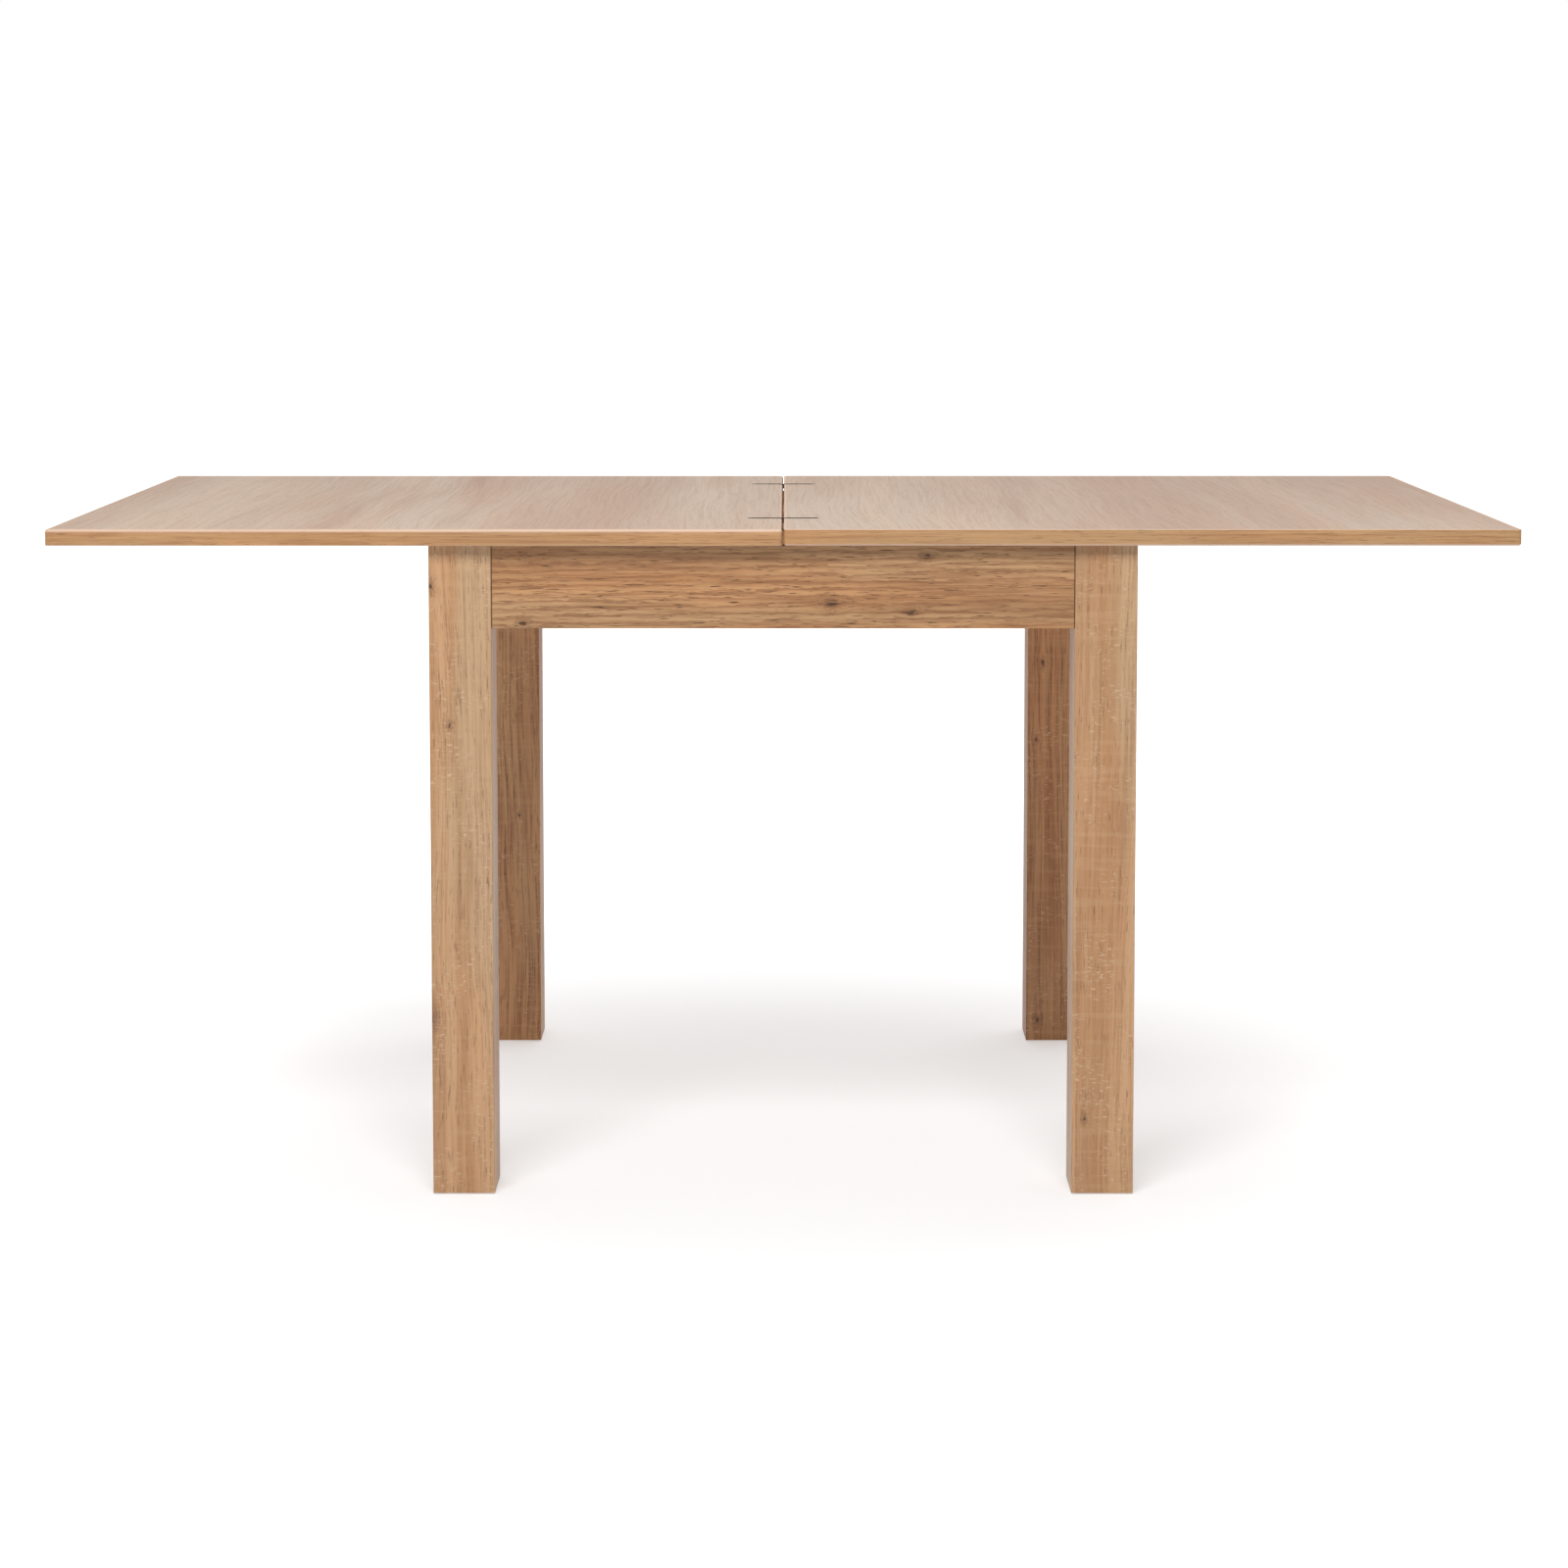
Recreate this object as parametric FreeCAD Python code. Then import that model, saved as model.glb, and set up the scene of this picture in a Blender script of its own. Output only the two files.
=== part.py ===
# Folding-top extending table, modelled open.
#
# Two square leaves lie end to end on a square leg frame. Two flush hinges join
# them: each has a plate let into each leaf and a short link between the plates,
# turning on two pins. The right leaf folds over onto the left one about a line just
# above the seam. The link turns half as far about its left pin, and a short slot in
# it takes up the right pin's travel half way through the fold. The left leaf carries
# both along two grooved rails inside the frame, so that the folded top ends up
# centred on the legs.
#
# Frame of the part: +Z up, X along the open table, Y across it, origin on the
# floor under the middle of the leg frame. Millimetres.

import FreeCAD
import Part
import math
import os

V = FreeCAD.Vector

# --- driving dimensions -------------------------------------------------------

OPEN_LENGTH = 1600.0      # both leaves laid out, along X
DEPTH = 800.0             # across the table, along Y
HEIGHT = 738.0            # floor to the working surface
BOARD = 18.0              # leaf board
SEAM_GAP = 1.4            # between the two leaves when open
BAND = 3.0                # edge band
SOFT_ARRIS = 3.0          # rounded arris, on each leaf's show side
CRISP_ARRIS = 1.0         # arris on the other side
LEAF_CORNER = 4.0         # leaf corner seen from above

OVERHANG = 14.0           # leaf past the legs, with the top folded and centred
LEG = 68.0                # square leg
LEG_ARRIS = 1.2
FOOT_GLIDE = 1.5          # thickness of the glide under each leg
GLIDE_R = 10.0
GLIDE_NAIL = 15.0         # floor to the tip of the glide's nail
GLIDE_NAIL_R = 1.2
LEAF_CLEARANCE = 0.8      # leaf underside above the frame's top edges
PAD_CLEARANCE = 0.1       # leaf underside above the slide pads

APRON_HEIGHT = 91.0
APRON = 18.0              # apron board
APRON_SETBACK = 1.0       # apron face behind the leg faces
APRON_END_GAP = 0.3       # hairline between apron end and leg
APRON_ARRIS = 0.6

HINGE_INSET = 145.0       # hinge centre to the leaf's front or back edge
STRAP_LENGTH = 40.0       # seam centre to the strap's round end
STRAP_WIDTH = 12.0
STRAP = 3.0               # plate thickness
PIN_OFFSET = 3.0          # pin centre to the seam centre
FOLD_GAP = 0.3            # between the two surfaces when folded
KNUCKLE_R = 2.8
PIN_R = 1.2
LINK_WIDTH = 4.4
FLUSH = 0.05              # hinge metal below the surface
HINGE_FIT = 0.1           # mortise round the hinge plate
LINK_SIDE_PLAY = 0.2      # link to fork, on each side
LINK_END_PLAY = 0.35      # link's round end to the plate
POCKET_PLAY = 0.25        # hinge metal to the floor of its pocket
LEFT_PIN_PLAY = 0.05      # radial, in the link
HINGE_SCREW_X = (17.0, 32.0)
HINGE_SCREW_SINK = 0.15   # screw head below the surface

RAIL_INNER = 170.0        # rail's grooved face to the middle of the table
RAIL_WIDTH = 28.0
RAIL_TOP_DROP = 1.5       # rail top below the leaf underside
RAIL_HEIGHT = 45.0
GROOVE_DEPTH = 10.0
GROOVE_HEIGHT = 10.4
GROOVE_FLOOR_DROP = 23.0  # groove's lower face below the leaf underside
RUNNER_WIDTH = 24.0
RUNNER_HEIGHT = 31.0
RUNNER_GAP = 0.5          # runner to rail, sideways
TONGUE_PLAY = 0.4         # tongue above and below, in the groove
SLIDE_TRAVEL = 400.0
STOP_PLAY = 0.4

BRACKET = 2.5             # corner bracket steel
BRACKET_HEIGHT = 60.0
BRACKET_FLANGE = 25.0
LEG_SEAT = 12.0           # leg's inner corner cut back for the bracket
BOLT_R = 4.0
BOLT_IN_LEG = 50.0
BOLT_OUT = 22.0
WASHER_R = 8.0
WASHER = 1.6
NUT_ACROSS_FLATS = 13.0
NUT_HEIGHT = 6.5
DOWEL_R = 4.0
DOWEL_LENGTH = 32.0
DOWEL_IN_LEG = 14.0
DOWEL_DROPS = (20.0, 71.0)  # below the frame's top

PAD_R = 6.0               # nylon slide pad
PAD_DEPTH = 8.0
PAD_SPREAD = 120.0        # pads on the front and back aprons, from the middle

RAIL_BRACKET = 2.0        # steel angle at a rail's end
RAIL_BRACKET_LEG = 28.0
RAIL_BRACKET_HEIGHT = 32.0
RAIL_SCREW_SPREAD = 8.0   # screws above and below the angle's middle

# head radius, shank radius, length
HINGE_SCREW = (3.6, 1.6, 13.0)
RUNNER_SCREW = (4.0, 2.0, 35.0)
RAIL_SCREW = (3.8, 2.0, 14.0)
CORNER_SCREW = (3.8, 2.0, 15.0)
RUNNER_SINK = 6.0         # runner screw's head above the runner's lower face
HOLE_FIT = 0.03           # a hole round its screw, dowel or bolt

# --- places worked out from them ----------------------------------------------

half_length = OPEN_LENGTH / 2
half_depth = DEPTH / 2
leaf_underside = HEIGHT - BOARD
frame_top = leaf_underside - LEAF_CLEARANCE
leg_outer = half_depth - OVERHANG
leg_inner = leg_outer - LEG
leg_mid = leg_outer - LEG / 2
apron_outer = leg_outer - APRON_SETBACK
apron_inner = apron_outer - APRON
apron_mid = (apron_outer + apron_inner) / 2
apron_bottom = frame_top - APRON_HEIGHT
hinge_y = half_depth - HINGE_INSET
fold_z = HEIGHT + FOLD_GAP / 2
pin_z = fold_z - PIN_OFFSET
link_slot = 2 * PIN_OFFSET * (math.sqrt(2) - 1)

rail_outer = RAIL_INNER + RAIL_WIDTH
rail_top = leaf_underside - RAIL_TOP_DROP
rail_bottom = rail_top - RAIL_HEIGHT
rail_mid_z = (rail_top + rail_bottom) / 2
groove_floor = leaf_underside - GROOVE_FLOOR_DROP
runner_outer = RAIL_INNER - RUNNER_GAP
runner_bottom = leaf_underside - RUNNER_HEIGHT
runner_far = apron_inner - 8.0
runner_near = runner_far - (2 * runner_far - SLIDE_TRAVEL)

bracket_bottom = frame_top - 11.0 - BRACKET_HEIGHT
seat_point = V(leg_inner + LEG_SEAT / 2, leg_inner + LEG_SEAT / 2, 0)
bolt_heights = (bracket_bottom + 15.0, bracket_bottom + 45.0)
toward_leg = V(1, 1, 0).normalize()

# (x sign, y sign) of each leg corner
CORNERS = {"front_left": (-1, -1), "front_right": (1, -1), "back_left": (-1, 1), "back_right": (1, 1)}


# --- helpers --------------------------------------------------------------------

def block(x0, x1, y0, y1, z0, z1):
    """Box between two corners, given in any order."""
    low = V(min(x0, x1), min(y0, y1), min(z0, z1))
    return Part.makeBox(abs(x1 - x0), abs(y1 - y0), abs(z1 - z0), low)


def rod(radius, start, direction, length):
    return Part.makeCylinder(radius, length, start, direction)


def quadrant(shape, sx, sy):
    """A shape made in the +X +Y quadrant, mirrored into the quadrant of the given signs."""
    if sx < 0:
        shape = shape.mirror(V(0, 0, 0), V(1, 0, 0))
    if sy < 0:
        shape = shape.mirror(V(0, 0, 0), V(0, 1, 0))
    return shape


def edges_at_height(shape, z):
    return [e for e in shape.Edges if all(abs(v.Z - z) < 1e-4 for v in e.Vertexes)]


def upright_edges(shape):
    found = []
    for e in shape.Edges:
        box = e.BoundBox
        if box.XLength < 1e-6 and box.YLength < 1e-6 and box.ZLength > 1:
            found.append(e)
    return found


def cut_all(shape, tools):
    return shape.cut(Part.Compound(list(tools))) if tools else shape


def countersunk_screw(top, direction, head_r, shank_r, length):
    """Countersunk screw whose flat head lies at top and whose point lies along direction."""
    head_height = head_r - shank_r
    head = Part.makeCone(head_r, shank_r, head_height, top, direction)
    shank = rod(shank_r, top, direction, length - 3 * shank_r)
    tip_base = top + direction * (length - 3 * shank_r)
    tip = Part.makeCone(shank_r, 0.3, 3 * shank_r, tip_base, direction)
    recess = Part.makeBox(1.0, 3.4, 1.6, V(-0.5, -1.7, -0.2))
    recess = recess.fuse(Part.makeBox(3.4, 1.0, 1.6, V(-1.7, -0.5, -0.2)))
    recess.Placement = FreeCAD.Placement(top, FreeCAD.Rotation(V(0, 0, 1), direction))
    return head.fuse([shank, tip]).cut(recess).removeSplitter()


def screw_hole(top, direction, head_r, shank_r, length):
    """Room for a countersunk screw, a hair larger than the screw."""
    head = Part.makeCone(head_r + HOLE_FIT, shank_r + HOLE_FIT, head_r - shank_r, top, direction)
    return head.fuse(rod(shank_r + HOLE_FIT, top, direction, length + 0.2))


def pilot_hole(seat, direction, head_r, shank_r, length):
    """Room for the shank of a pan-head screw, from just outside its seat to just past its point."""
    return rod(shank_r + HOLE_FIT, seat - direction, direction, length + 1.2)


def pan_screw(seat, direction, head_r, shank_r, length):
    """Pan-head screw: its head sits on seat, its shank runs along direction."""
    head = rod(head_r, seat, -direction, 2.4)
    head = head.makeFillet(1.0, [e for e in head.Edges if e.Curve.TypeId == "Part::GeomCircle"
                                 and (e.Curve.Center - seat).Length > 1.0])
    shank = rod(shank_r, seat, direction, length - 2 * shank_r)
    tip = Part.makeCone(shank_r, 0.3, 2 * shank_r, seat + direction * (length - 2 * shank_r), direction)
    slot = Part.makeBox(1.0, 4.0, 1.4, V(-0.5, -2.0, -0.4))
    slot = slot.fuse(Part.makeBox(4.0, 1.0, 1.4, V(-2.0, -0.5, -0.4)))
    slot.Placement = FreeCAD.Placement(seat - direction * 2.4, FreeCAD.Rotation(V(0, 0, 1), direction))
    return head.fuse([shank, tip]).cut(slot).removeSplitter()


# --- leaves -----------------------------------------------------------------------

def leaf_blank(soft_side_up):
    """A whole leaf on the +X side, arrises worked, before it is divided into board and bands."""
    leaf = block(SEAM_GAP / 2, half_length, -half_depth, half_depth, leaf_underside, HEIGHT)
    leaf = leaf.makeFillet(LEAF_CORNER, upright_edges(leaf))
    soft_z, crisp_z = (HEIGHT, leaf_underside) if soft_side_up else (leaf_underside, HEIGHT)
    leaf = leaf.makeFillet(SOFT_ARRIS, edges_at_height(leaf, soft_z))
    return leaf.makeFillet(CRISP_ARRIS, edges_at_height(leaf, crisp_z))


def hinge_mortise(y, overrun):
    """Pocket in the +X leaf for a hinge plate, deeper at the seam for the knuckles and the link's overrun."""
    strap_end = STRAP_LENGTH - STRAP_WIDTH / 2
    half = STRAP_WIDTH / 2 + HINGE_FIT
    floor = HEIGHT - STRAP - FLUSH
    strap = block(0, strap_end, y - half, y + half, floor, HEIGHT + 1)
    round_end = rod(half, V(strap_end, y, floor), V(0, 0, 1), STRAP + 2)
    reach = overrun + KNUCKLE_R
    knuckles = block(0, PIN_OFFSET + reach + LINK_END_PLAY + POCKET_PLAY, y - half, y + half,
                     pin_z - reach - POCKET_PLAY, HEIGHT + 1)
    return strap.fuse([round_end, knuckles])


def hinge_screw_spots():
    """Tops of the +X leaf's hinge screws."""
    return [V(x, y, HEIGHT - HINGE_SCREW_SINK) for y in (-hinge_y, hinge_y) for x in HINGE_SCREW_X]


def leaf_parts(soft_side_up, overrun):
    """Board and four edge bands of a leaf on the +X side."""
    blank = leaf_blank(soft_side_up)
    down = V(0, 0, -1)
    pockets = [hinge_mortise(y, overrun) for y in (-hinge_y, hinge_y)]
    pockets += [screw_hole(spot, down, *HINGE_SCREW) for spot in hinge_screw_spots()]
    leaf = cut_all(blank, pockets)
    seam = SEAM_GAP / 2
    z0, z1 = leaf_underside - 1, HEIGHT + 1
    inner_y = half_depth - BAND
    regions = {
        "board": block(seam + BAND, half_length - BAND, -inner_y, inner_y, z0, z1),
        "band_front": block(0, half_length + 1, -half_depth - 1, -inner_y, z0, z1),
        "band_back": block(0, half_length + 1, inner_y, half_depth + 1, z0, z1),
        "band_outer": block(half_length - BAND, half_length + 1, -inner_y, inner_y, z0, z1),
        "band_seam": block(0, seam + BAND, -inner_y, inner_y, z0, z1),
    }
    return {name: leaf.common(region) for name, region in regions.items()}


# --- hinges --------------------------------------------------------------------------

def hinge_plate(y, overrun):
    """Plate on the +X leaf: a strap with a round end and a fork of two knuckles at the seam."""
    top = HEIGHT - FLUSH
    strap_end = STRAP_LENGTH - STRAP_WIDTH / 2 - HINGE_FIT
    half = STRAP_WIDTH / 2
    plate = block(PIN_OFFSET, strap_end, y - half, y + half, HEIGHT - STRAP, top)
    round_end = rod(half, V(strap_end, y, HEIGHT - STRAP), V(0, 0, 1), STRAP - FLUSH)
    knuckle = rod(KNUCKLE_R, V(PIN_OFFSET, y - half, pin_z), V(0, 1, 0), STRAP_WIDTH)
    plate = plate.fuse([round_end, knuckle]).removeSplitter()
    notch_half = LINK_WIDTH / 2 + LINK_SIDE_PLAY
    notch_end = PIN_OFFSET + overrun + KNUCKLE_R + LINK_END_PLAY
    notch = block(-1, notch_end, y - notch_half, y + notch_half, pin_z - 2 * KNUCKLE_R, top + 1)
    pin_hole = rod(PIN_R + 0.02, V(PIN_OFFSET, y - half - 1, pin_z), V(0, 1, 0), STRAP_WIDTH + 2)
    spots = [s for s in hinge_screw_spots() if abs(s.y - y) < 1]
    holes = [screw_hole(s, V(0, 0, -1), *HINGE_SCREW) for s in spots]
    openings = [rod(HINGE_SCREW[0] + HOLE_FIT, s, V(0, 0, 1), 1.0) for s in spots]
    return cut_all(plate, [notch, pin_hole] + holes + openings)


def hinge_link(y):
    """Link between the two forks: a round hole for the left pin, a slot for the right one."""
    start = y - LINK_WIDTH / 2
    link = lozenge(KNUCKLE_R, -PIN_OFFSET, PIN_OFFSET + link_slot, start, LINK_WIDTH)
    pin_hole = rod(PIN_R + LEFT_PIN_PLAY, V(-PIN_OFFSET, start - 1, pin_z), V(0, 1, 0), LINK_WIDTH + 2)
    slot = lozenge(PIN_R + LEFT_PIN_PLAY, PIN_OFFSET, PIN_OFFSET + link_slot, start - 1, LINK_WIDTH + 2)
    return cut_all(link, [pin_hole, slot])


def lozenge(radius, x0, x1, y, width):
    """Round-ended bar at pin height, between two end centres."""
    ends = [rod(radius, V(x, y, pin_z), V(0, 1, 0), width) for x in (x0, x1)]
    waist = block(x0, x1, y, y + width, pin_z - radius, pin_z + radius)
    return waist.fuse(ends).removeSplitter()


def hinge_pins():
    """The two pins that ride with the +X leaf."""
    length = STRAP_WIDTH - 0.2
    return Part.Compound([rod(PIN_R, V(PIN_OFFSET, y - length / 2, pin_z), V(0, 1, 0), length)
                          for y in (-hinge_y, hinge_y)])


def hinge_screws():
    down = V(0, 0, -1)
    return Part.Compound([countersunk_screw(s, down, *HINGE_SCREW) for s in hinge_screw_spots()])


# --- runners and rails ------------------------------------------------------------------

runner_screw_x = [-(runner_near + (runner_far - runner_near) * k) for k in (0.08, 0.36, 0.64, 0.92)]
runner_mid = runner_outer - RUNNER_WIDTH / 2


def runner_screw_spots():
    return [V(x, runner_mid, runner_bottom + RUNNER_SINK) for x in runner_screw_x]


def runner():
    """Beech runner under the left leaf, at +Y, with a tongue for the rail's groove."""
    body = block(-runner_far, -runner_near, runner_outer - RUNNER_WIDTH, runner_outer,
                 runner_bottom, leaf_underside)
    tongue = block(-runner_far, -runner_near, runner_outer, RAIL_INNER + GROOVE_DEPTH - 0.7,
                   groove_floor + TONGUE_PLAY, groove_floor + GROOVE_HEIGHT - TONGUE_PLAY)
    body = body.fuse(tongue).removeSplitter()
    holes = []
    for spot in runner_screw_spots():
        counterbore = RUNNER_SCREW[0] + 0.6
        holes.append(rod(counterbore, V(spot.x, spot.y, runner_bottom - 1), V(0, 0, 1), RUNNER_SINK + 1))
        holes.append(screw_hole(spot, V(0, 0, 1), *RUNNER_SCREW))
    return cut_all(body, holes)


def rail():
    """Beech rail between the end aprons, at +Y, with its groove facing the middle."""
    end = apron_inner - APRON_END_GAP
    body = block(-end, end, RAIL_INNER, rail_outer, rail_bottom, rail_top)
    groove = block(-end - 1, end + 1, RAIL_INNER - 1, RAIL_INNER + GROOVE_DEPTH,
                   groove_floor, groove_floor + GROOVE_HEIGHT)
    pilots = [quadrant(pilot_hole(seat, direction, *RAIL_SCREW), s, 1)
              for s in (-1, 1) for seat, direction in rail_bracket_screws() if direction.y < 0]
    return cut_all(body, [groove] + pilots)


def runner_stop():
    """Plug in the end of the rail's groove, in the +X +Y quadrant."""
    return block(runner_far + STOP_PLAY, apron_inner - APRON_END_GAP, RAIL_INNER + 0.2,
                 RAIL_INNER + GROOVE_DEPTH - 0.2, groove_floor + 0.2, groove_floor + GROOVE_HEIGHT - 0.2)


def rail_bracket():
    """Steel angle that holds a rail's end to the end apron, in the +X +Y quadrant."""
    z0, z1 = rail_mid_z - RAIL_BRACKET_HEIGHT / 2, rail_mid_z + RAIL_BRACKET_HEIGHT / 2
    on_rail = block(apron_inner - RAIL_BRACKET_LEG, apron_inner,
                    rail_outer, rail_outer + RAIL_BRACKET, z0, z1)
    on_apron = block(apron_inner - RAIL_BRACKET, apron_inner,
                     rail_outer, rail_outer + RAIL_BRACKET_LEG, z0, z1)
    angle = on_rail.fuse(on_apron).removeSplitter()
    return cut_all(angle, [rod(RAIL_SCREW[1] + 0.2, seat - direction, direction, 4)
                           for seat, direction in rail_bracket_screws()])


def rail_bracket_screws():
    """Seat and direction of each screw of the +X +Y rail bracket."""
    along = RAIL_BRACKET_LEG - 10
    spots = []
    for z in (rail_mid_z - RAIL_SCREW_SPREAD, rail_mid_z + RAIL_SCREW_SPREAD):
        spots.append((V(apron_inner - along, rail_outer + RAIL_BRACKET, z), V(0, -1, 0)))
        spots.append((V(apron_inner - RAIL_BRACKET, rail_outer + along, z), V(1, 0, 0)))
    return spots


# --- leg frame ------------------------------------------------------------------------------

def corner_bracket():
    """Pressed steel corner bracket in the +X +Y quadrant: a diagonal plate with a flange on each apron."""
    outer_sum = 2 * seat_point.x
    inner_sum = outer_sum - BRACKET * math.sqrt(2)
    face = apron_inner
    inside = apron_inner - BRACKET
    bend = outer_sum - face
    end = bend - BRACKET_FLANGE
    inner_bend = inner_sum - inside
    outline = [(end, face), (bend, face), (face, bend), (face, end),
               (inside, end), (inside, inner_bend), (inner_bend, inside), (end, inside)]
    points = [V(x, y, bracket_bottom) for x, y in outline]
    plate = Part.Face(Part.makePolygon(points + points[:1])).extrude(V(0, 0, BRACKET_HEIGHT))
    holes = [rod(BOLT_R + 0.3, seat_point + V(0, 0, z) + toward_leg * 3, -toward_leg, 10)
             for z in bolt_heights]
    holes += [rod(CORNER_SCREW[1] + 0.2, seat - direction, direction, 4)
              for seat, direction in bracket_screw_spots()]
    return cut_all(plate, holes)


def bracket_screw_spots():
    """Seat and direction of each screw of the +X +Y corner bracket."""
    along = 2 * seat_point.x - apron_inner - BRACKET_FLANGE / 2
    spots = []
    for z in bolt_heights:
        spots.append((V(along, apron_inner - BRACKET, z), V(0, 1, 0)))
        spots.append((V(apron_inner - BRACKET, along, z), V(1, 0, 0)))
    return spots


def bolt_set():
    """Hanger bolts, washers and nuts of the +X +Y corner."""
    bolts, washers, nuts = [], [], []
    for z in bolt_heights:
        seat = seat_point + V(0, 0, z)
        bolts.append(rod(BOLT_R, seat + toward_leg * BOLT_IN_LEG, -toward_leg, BOLT_IN_LEG + BOLT_OUT))
        on_plate = seat - toward_leg * BRACKET
        washer = rod(WASHER_R, on_plate, -toward_leg, WASHER)
        washers.append(washer.cut(rod(BOLT_R + 0.2, on_plate + toward_leg, -toward_leg, 4)))
        nuts.append(hex_nut(on_plate - toward_leg * WASHER, -toward_leg))
    return bolts, washers, nuts


def hex_nut(base, direction):
    """M8 nut that stands on base, its outer corners turned off."""
    corner_r = NUT_ACROSS_FLATS / 2 / math.cos(math.pi / 6)
    corners = [V(corner_r * math.cos(math.pi / 3 * k), corner_r * math.sin(math.pi / 3 * k), 0)
               for k in range(6)]
    nut = Part.Face(Part.makePolygon(corners + corners[:1])).extrude(V(0, 0, NUT_HEIGHT))
    nut = nut.common(Part.makeCone(corner_r + NUT_HEIGHT, NUT_ACROSS_FLATS / 2, NUT_HEIGHT))
    nut = nut.cut(rod(BOLT_R + HOLE_FIT, V(0, 0, -1), V(0, 0, 1), NUT_HEIGHT + 2))
    nut.Placement = FreeCAD.Placement(base, FreeCAD.Rotation(V(0, 0, 1), direction))
    return nut


def dowels():
    """Two dowels at each apron end, for the +X +Y leg."""
    found = []
    for drop in DOWEL_DROPS:
        z = frame_top - drop
        start = leg_inner + DOWEL_IN_LEG - DOWEL_LENGTH
        found.append(rod(DOWEL_R, V(start, apron_mid, z), V(1, 0, 0), DOWEL_LENGTH))
        found.append(rod(DOWEL_R, V(apron_mid, start, z), V(0, 1, 0), DOWEL_LENGTH))
    return found


def dowel_holes():
    """Sockets for those dowels, a hair wider and longer."""
    found = []
    for drop in DOWEL_DROPS:
        z = frame_top - drop
        start = leg_inner + DOWEL_IN_LEG - DOWEL_LENGTH - 1
        found.append(rod(DOWEL_R + HOLE_FIT, V(start, apron_mid, z), V(1, 0, 0), DOWEL_LENGTH + 2))
        found.append(rod(DOWEL_R + HOLE_FIT, V(apron_mid, start, z), V(0, 1, 0), DOWEL_LENGTH + 2))
    return found


def pad_spots():
    """Where the nylon slide pads stand on the frame's top edges."""
    spots = [(sx * leg_mid, sy * leg_mid) for sx, sy in CORNERS.values()]
    spots += [(sx * PAD_SPREAD, sy * apron_mid) for sx, sy in CORNERS.values()]
    spots += [(sx * apron_mid, 0.0) for sx in (-1, 1)]
    return spots


def slide_pad(x, y):
    top = leaf_underside - PAD_CLEARANCE
    pad = rod(PAD_R, V(x, y, frame_top - PAD_DEPTH), V(0, 0, 1), top - frame_top + PAD_DEPTH)
    return pad.makeFillet(0.4, edges_at_height(pad, top))


def pad_hole(x, y):
    return rod(PAD_R + 0.05, V(x, y, frame_top - PAD_DEPTH), V(0, 0, 1), PAD_DEPTH + 1)


def leg(name):
    sx, sy = CORNERS[name]
    post = block(leg_inner, leg_outer, leg_inner, leg_outer, FOOT_GLIDE, frame_top)
    post = post.makeFillet(LEG_ARRIS, upright_edges(post))
    seat = block(-40, LEG_SEAT / math.sqrt(2), -40, 40, 0, BRACKET_HEIGHT + 20)
    seat.Placement = FreeCAD.Placement(V(leg_inner, leg_inner, bracket_bottom - 8),
                                       FreeCAD.Rotation(V(0, 0, 1), 45))
    holes = [seat]
    holes += [rod(BOLT_R + HOLE_FIT, seat_point + V(0, 0, z) - toward_leg, toward_leg, BOLT_IN_LEG + 1.5)
              for z in bolt_heights]
    holes += dowel_holes()
    holes.append(rod(GLIDE_NAIL_R + 0.05, V(leg_mid, leg_mid, 0), V(0, 0, 1), GLIDE_NAIL + 1))
    holes.append(pad_hole(leg_mid, leg_mid))
    return quadrant(cut_all(post, holes), sx, sy)


def foot_glide(sx, sy):
    disc = rod(GLIDE_R, V(sx * leg_mid, sy * leg_mid, 0), V(0, 0, 1), FOOT_GLIDE)
    disc = disc.makeFillet(FOOT_GLIDE * 0.4, edges_at_height(disc, 0))
    nail_start = V(sx * leg_mid, sy * leg_mid, FOOT_GLIDE / 2)
    return disc.fuse(rod(GLIDE_NAIL_R, nail_start, V(0, 0, 1), GLIDE_NAIL - FOOT_GLIDE / 2))


def apron_board(along_x, side):
    """Apron between two legs; side is +1 or -1 along the other axis."""
    end = leg_inner - APRON_END_GAP
    board = block(-end, end, apron_inner, apron_outer, apron_bottom, frame_top)
    long_edges = [e for e in board.Edges if e.BoundBox.XLength > 100]
    board = board.makeFillet(APRON_ARRIS, long_edges)
    cuts = []
    for sx in (-1, 1):
        for hole in dowel_holes():
            cuts.append(quadrant(hole, sx, 1))
        for seat, direction in bracket_screw_spots():
            if direction.y > 0.5:
                cuts.append(quadrant(pilot_hole(seat, direction, *CORNER_SCREW), sx, 1))
    if not along_x:
        for sx in (-1, 1):
            for seat, direction in rail_bracket_screws():
                if direction.x > 0.5:
                    turned = V(sx * seat.y, seat.x, seat.z)
                    cuts.append(pilot_hole(turned, V(0, 1, 0), *RAIL_SCREW))
        cuts.append(pad_hole(0.0, apron_mid))
    else:
        cuts += [pad_hole(x, apron_mid) for x in (-PAD_SPREAD, PAD_SPREAD)]
    board = cut_all(board, cuts)
    if not along_x:
        board.rotate(V(0, 0, 0), V(0, 0, 1), -90)
        return quadrant(board, side, 1)
    return quadrant(board, 1, side)


# --- write one file per node -------------------------------------------------------------------

def save(name, shape):
    solids = shape.Solids
    if not solids or not all(s.isValid() for s in solids):
        raise RuntimeError(name + " holds no solid, or one that isn't valid")
    whole = solids[0] if len(solids) == 1 else Part.Compound(solids)
    whole.exportStep("parts/" + name + ".step")
    print("%-28s %2d solids  %.0f mm3" % (name, len(solids), sum(s.Volume for s in solids)))


def all_corners(make):
    """make() gives solids for the +X +Y quadrant; returns them for all four."""
    return Part.Compound([quadrant(s, sx, sy) for sx, sy in CORNERS.values() for s in make()])


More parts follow.
